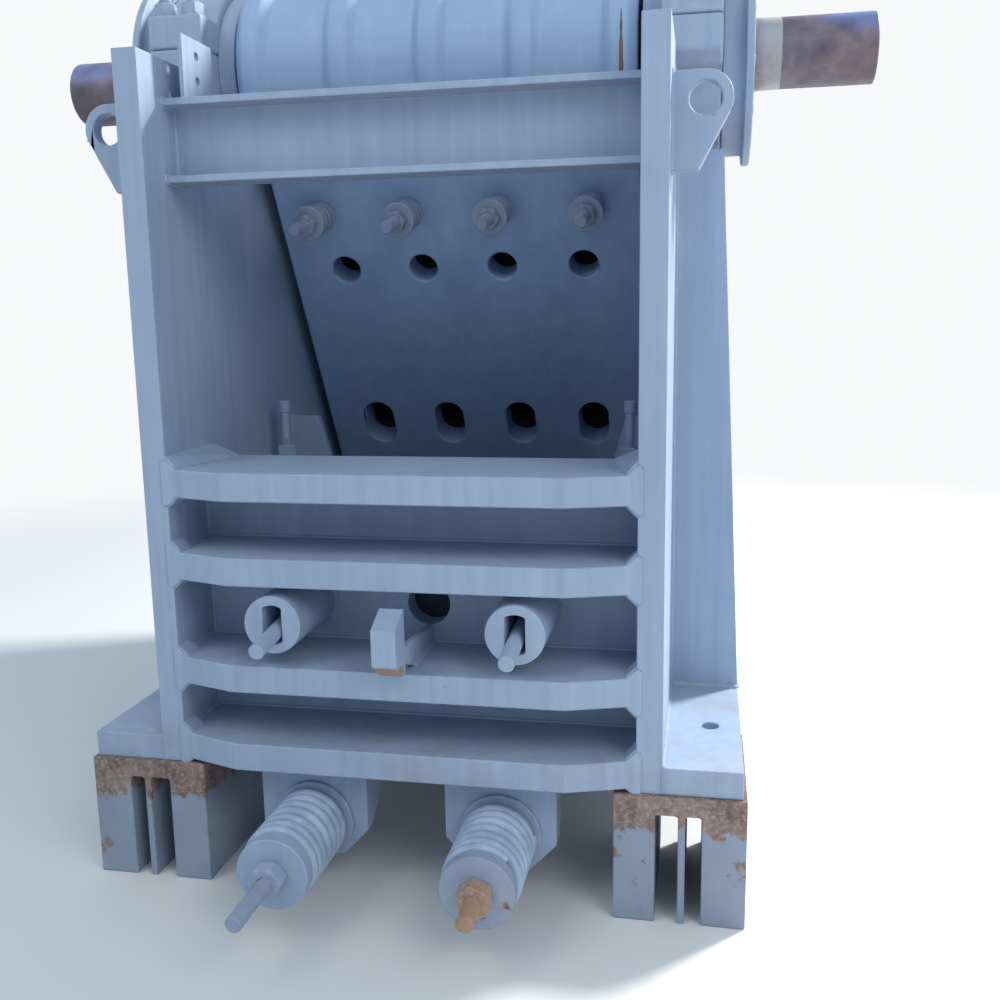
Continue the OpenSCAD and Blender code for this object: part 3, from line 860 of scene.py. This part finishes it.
weldGroups = {
    "dischargeWelds": [
        ("rear_ribs", "side_plate_left"), ("rear_ribs", "side_plate_right"),
        ("rear_ribs", "rear_wall"), ("rear_wall", "side_plate_left"),
        ("rear_wall", "side_plate_right"), ("top_crossbeam", "side_plate_left"),
        ("top_crossbeam", "side_plate_right"), ("slotted_tubes", "rear_wall"),
        ("jack_bracket", "rear_ribs"), ("jack_bracket", "rear_wall"),
        ("bracket_plate", "top_crossbeam"), ("hold_down_ears", "side_plate_left"),
        ("hold_down_ears", "side_plate_right"), ("side_gussets", "side_plate_left"),
        ("side_gussets", "side_plate_right"), ("spring_brackets", "rear_ribs"),
        ("spring_brackets", "rear_wall")],
    "outerWelds": [
        ("outer_ribs_left", "side_plate_left"), ("outer_ribs_right", "side_plate_right"),
        ("rear_feet", "side_plate_left"), ("rear_feet", "side_plate_right"),
        ("front_feet", "side_plate_left"), ("front_feet", "side_plate_right"),
        ("lifting_lugs", "side_plate_left"), ("lifting_lugs", "side_plate_right")],
    "footWelds": [
        ("outer_ribs_left", "rear_feet"), ("outer_ribs_right", "rear_feet"),
        ("outer_ribs_left", "front_feet"), ("outer_ribs_right", "front_feet")],
    "feedWelds": [
        ("front_ribs", "side_plate_left"), ("front_ribs", "side_plate_right"),
        ("front_ribs", "front_wall"), ("front_wall", "side_plate_left"),
        ("front_wall", "side_plate_right"), ("block_guides", "side_plate_left"),
        ("block_guides", "side_plate_right")],
    "jawWelds": [("rod_lugs", "pitman_body")],
}


def seamsOn(part, base):
    # edges of one plate that lie on another, each with its ends and whether it is flush there
    bm = plainMesh(part)
    under = plainMesh(base)
    surface = BVHTree.FromBMesh(under)
    found = []
    for edge in bm.edges:
        if len(edge.link_faces) != 2 or edge.calc_face_angle(0) < math.radians(25):
            continue
        a, b = (v.co.copy() for v in edge.verts)
        middle = (a + b) / 2
        hits = [surface.find_nearest(p, 0.7 * mm) for p in (a, middle, b)]
        if any(hit[0] is None for hit in hits):
            continue
        free = [face.normal for face in edge.link_faces if face.normal.dot(hits[1][1]) > -0.9]
        probe = middle + free[0] * 14 * mm if free else middle
        flush = not free or len(free) > 1 or (surface.find_nearest(probe)[0] - probe).length > 5 * mm
        found.append((a, b, flush))
    bm.free()
    under.free()
    return found


def cornersOf(part):
    # inner corners of one node
    bm = plainMesh(part)
    found = [(e.verts[0].co.copy(), e.verts[1].co.copy(), False) for e in bm.edges
             if len(e.link_faces) == 2 and not e.is_convex and e.calc_face_angle(0) > 0.5
             and e.calc_length() > 12 * mm]
    bm.free()
    return found


def joined(seams):
    # end to end runs, broken at corners
    def key(p):
        return tuple(round(c * 5000) for c in p)
    runs = []
    for flush in (False, True):
        left = [(a, b) for a, b, f in seams if f == flush and (b - a).length > mm]
        while left:
            run = list(left.pop())
            grown = True
            while grown:
                grown = False
                for a, b in left:
                    for p, q in ((a, b), (b, a)):
                        ahead = (run[-1] - run[-2]).normalized()
                        if key(p) == key(run[-1]) and (q - p).normalized().dot(ahead) > 0.8:
                            run.append(q)
                            grown = True
                            break
                        back = (run[0] - run[1]).normalized()
                        if key(p) == key(run[0]) and (q - p).normalized().dot(back) > 0.8:
                            run.insert(0, q)
                            grown = True
                            break
                    if grown:
                        left.remove((a, b))
                        break
            runs.append((run, flush))
    return runs


def layBead(bm, run, leg, luck):
    step = weldBead["ripple"] * mm
    closed = (run[0] - run[-1]).length < mm
    lengths = [0]
    for a, b in zip(run, run[1:]):
        lengths.append(lengths[-1] + (b - a).length)
    count = max(2, int(lengths[-1] / step))
    rings = []
    part = 0
    for i in range(count + 1):
        reach = lengths[-1] * i / count
        while part < len(run) - 2 and lengths[part + 1] < reach:
            part += 1
        a, b = run[part], run[part + 1]
        along = (b - a).normalized()
        spot = a + along * (reach - lengths[part])
        side = (along.orthogonal() if abs(along.z) > 0.9 else along.cross(zAxis)).normalized()
        up = side.cross(along)
        size = leg * (1.0 if i % 2 else 0.84) * (1 + weldBead["uneven"] * luck.uniform(-1, 1))
        if not closed and i in (0, count):
            size *= 0.55
        rings.append([bm.verts.new(spot + (side * math.cos(t) + up * math.sin(t)) * size)
                      for t in (2 * math.pi * k / weldBead["sides"] for k in range(weldBead["sides"]))])
    for first, second in zip(rings, rings[1:]):
        for k in range(len(first)):
            j = (k + 1) % len(first)
            bm.faces.new((first[k], first[j], second[j], second[k]))
    bm.faces.new(rings[0])
    bm.faces.new(rings[-1])


def makeWelds():
    luck = random.Random(4)
    for name, pairs in weldGroups.items():
        bm = bmesh.new()
        leg = weldBead["footLeg" if name == "footWelds" else "leg"] * mm
        for part, base in pairs:
            for run, flush in joined(seamsOn(part, base)):
                layBead(bm, run, leg * (0.5 if flush else 1), luck)
        body = nodeBody[pairs[0][0]]
        newPiece(name, bm, "weld", body, sharp=80)
        print(name, "laid")
    bm = bmesh.new()
    for node in ("rear_stands", "front_stands"):
        for run, flush in joined(cornersOf(node)):
            layBead(bm, run, weldBead["leg"] * mm * 0.8, luck)
    newPiece("standWelds", bm, "stand", "frame", sharp=80)


ribCollar = {"onRib": 28, "onPost": 13, "reach": 22, "proud": 5, "deep": 5, "lap": 2, "edge": 3.5}


def makeRibCollars():
    # built up weld over the front of each rib end, reaching onto the side plate
    c = {key: size * mm for key, size in ribCollar.items()}
    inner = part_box("rear_wall")[1].x
    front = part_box("side_plate_right")[0].y
    bm = bmesh.new()
    for points in solids("rear_ribs"):
        low, high = limits(points)
        for side in (-1, 1):
            upper = [(-c["onRib"], -c["lap"]), (-c["lap"], c["reach"]),
                     (c["onPost"] * 0.7, c["reach"]), (c["onPost"], c["reach"] * 0.8)]
            outline = [(x, high.z + up) for x, up in upper]
            outline += [(x, low.z - up) for x, up in reversed(upper)]
            rings = [[bm.verts.new((side * (inner + x), y, z)) for x, z in outline]
                     for y in (front - c["proud"], front + c["deep"])]
            bm.faces.new(rings[0])
            bm.faces.new(rings[1])
            joinRings(bm, rings)
    softEdges(newPiece("ribCollars", bm, "weld", "frame", sharp=12), ribCollar["edge"])


makeWelds()
makeRibCollars()
print("welds laid")


# the jaw: a hollow casting, seen into through its holes

hollowJaw = {"spread": 1.5, "deep": 260, "floors": (60, 120), "edge": 7}


def makeJaw():
    bm = plainMesh("pitman_body")
    back = [f for f in bm.faces if f.normal.y < -0.5 and abs(f.normal.x) < 0.1]
    plane = max(back, key=lambda f: f.calc_area())
    away = plane.normal.copy()
    level = plane.calc_center_median().dot(away)
    least, most = (depth * mm for depth in hollowJaw["floors"])
    floors = [f for f in bm.faces if f.normal.dot(away) > 0.99
              and least < level - f.calc_center_median().dot(away) < most]
    for face in floors:
        for distance, scale in ((0, hollowJaw["spread"]), (hollowJaw["deep"] * mm, 1.0)):
            grown = bmesh.ops.extrude_discrete_faces(bm, faces=[face])["faces"]
            face = grown[0]
            face.material_index = 1
            middle = face.calc_center_median()
            for vert in face.verts:
                vert.co = middle + (vert.co - middle) * scale - away * distance
            for edge in face.edges:
                for other in edge.link_faces:
                    other.material_index = 1
    piece = newPiece("jawCasting", bm, ("jaw", "hollow"), "jaw")
    softEdges(piece, hollowJaw["edge"], 3)
    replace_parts(piece, "pitman_body")
    print("jaw casting with", len(floors), "holes")


makeJaw()


# camera, lights and floor

photoView = {"place": (0.7518, -3.4664, 1.5035), "lens": 37.71, "turn": -0.195, "tip": -0.175,
             "roll": -0.016}


def makeCamera():
    turn, tip, roll = (photoView[k] for k in ("turn", "tip", "roll"))
    ahead = Vector((math.sin(turn) * math.cos(tip), math.cos(turn) * math.cos(tip), math.sin(tip)))
    right = Vector((math.cos(turn), -math.sin(turn), 0))
    above = right.cross(ahead)
    across = right * math.cos(roll) + above * math.sin(roll)
    upward = above * math.cos(roll) - right * math.sin(roll)
    lens = bpy.data.cameras.new("photoCamera")
    lens.lens = photoView["lens"]
    lens.sensor_width = 36
    camera = bpy.data.objects.new("photoCamera", lens)
    turned = Matrix((across, upward, -ahead)).transposed().to_4x4()
    camera.matrix_world = Matrix.Translation(Vector(photoView["place"])) @ turned
    bpy.context.collection.objects.link(camera)
    bpy.context.scene.camera = camera


lamps = {
    "key": {"from": (5.2, 3.7, 5.9), "size": 1.4, "watts": 1050, "tint": (1.0, 0.98, 0.94)},
    "fill": {"from": (-3.2, -4.6, 6.6), "size": 4.0, "watts": 95, "tint": (1.0, 0.97, 0.93)},
    "front": {"from": (4.2, -4.8, 5.2), "size": 4.0, "watts": 125, "tint": (1.0, 0.97, 0.93)},
}
room = {"sky": (0.64, 0.83, 1.0), "skyStrength": 0.66, "seen": (0.93, 0.94, 0.95),
        "floor": (0.78, 0.78, 0.77), "floorDark": (0.7, 0.7, 0.69), "floorSize": 30,
        "floorGap": 0.5, "fade": (3.2, 7.0)}


def makeLights():
    middle = (cadBox[0] + cadBox[1]) / 2
    for name, lamp in lamps.items():
        light = bpy.data.lights.new(name, "AREA")
        light.shape = "DISK"
        light.size = lamp["size"]
        light.energy = lamp["watts"]
        light.color = lamp["tint"]
        holder = bpy.data.objects.new(name, light)
        holder.location = lamp["from"]
        aim = middle - holder.location
        holder.rotation_euler = aim.to_track_quat("-Z", "Y").to_euler()
        bpy.context.collection.objects.link(holder)


def makeWorld():
    # the sky lights the object, while straight views and reflections meet a plain backdrop
    world = bpy.data.worlds.new("studio")
    world.use_nodes = True
    bpy.context.scene.world = world
    nodes, links = world.node_tree.nodes, world.node_tree.links
    nodes.clear()
    path = nodes.new("ShaderNodeLightPath")
    seen = path.outputs["Is Camera Ray"]
    for ray in ("Is Glossy Ray", "Is Transmission Ray"):
        either = nodes.new("ShaderNodeMath")
        either.operation = "MAXIMUM"
        links.new(seen, either.inputs[0])
        links.new(path.outputs[ray], either.inputs[1])
        seen = either.outputs[0]
    pick = nodes.new("ShaderNodeMixShader")
    links.new(seen, pick.inputs["Fac"])
    for place, shown, strength in ((1, "sky", room["skyStrength"]), (2, "seen", 1.0)):
        light = nodes.new("ShaderNodeBackground")
        light.inputs["Color"].default_value = (*room[shown], 1)
        light.inputs["Strength"].default_value = strength
        links.new(light.outputs[0], pick.inputs[place])
    out = nodes.new("ShaderNodeOutputWorld")
    links.new(pick.outputs[0], out.inputs["Surface"])


def makeFloor():
    # the far floor runs out into the colour of the backdrop
    f = Finish("studioFloor", Roughness=0.9, Specular_IOR_Level=0.1)
    f.set(Base_Color=f.mix(f.noise(0.8, 3) * 0.12, room["floor"], room["floorDark"]))
    away = f.add("VectorMath", {"operation": "LENGTH"}, {0: f.place}, output="Value")
    seen = f.add("LightPath", output="Is Camera Ray")
    glow = f.add("Emission", {}, {"Color": room["seen"], "Strength": 1.0})
    blended = f.add("MixShader", {}, {0: seen * away.rise(*room["fade"]), 1: f.body, 2: glow})
    f.tree.links.new(blended.output, f.tree.nodes["Material Output"].inputs["Surface"])
    bm = bmesh.new()
    bmesh.ops.create_grid(bm, x_segments=4, y_segments=4, size=room["floorSize"])
    mesh = bpy.data.meshes.new("studioFloor")
    bm.to_mesh(mesh)
    bm.free()
    mesh.materials.append(f.material)
    floor = bpy.data.objects.new("studioFloor", mesh)
    floor.location.z = cadBox[0].z - room["floorGap"] * mm
    bpy.context.collection.objects.link(floor)


makeCamera()
makeLights()
makeWorld()
makeFloor()
bpy.context.scene.view_settings.view_transform = "Standard"

print("camera, lights and floor ready")
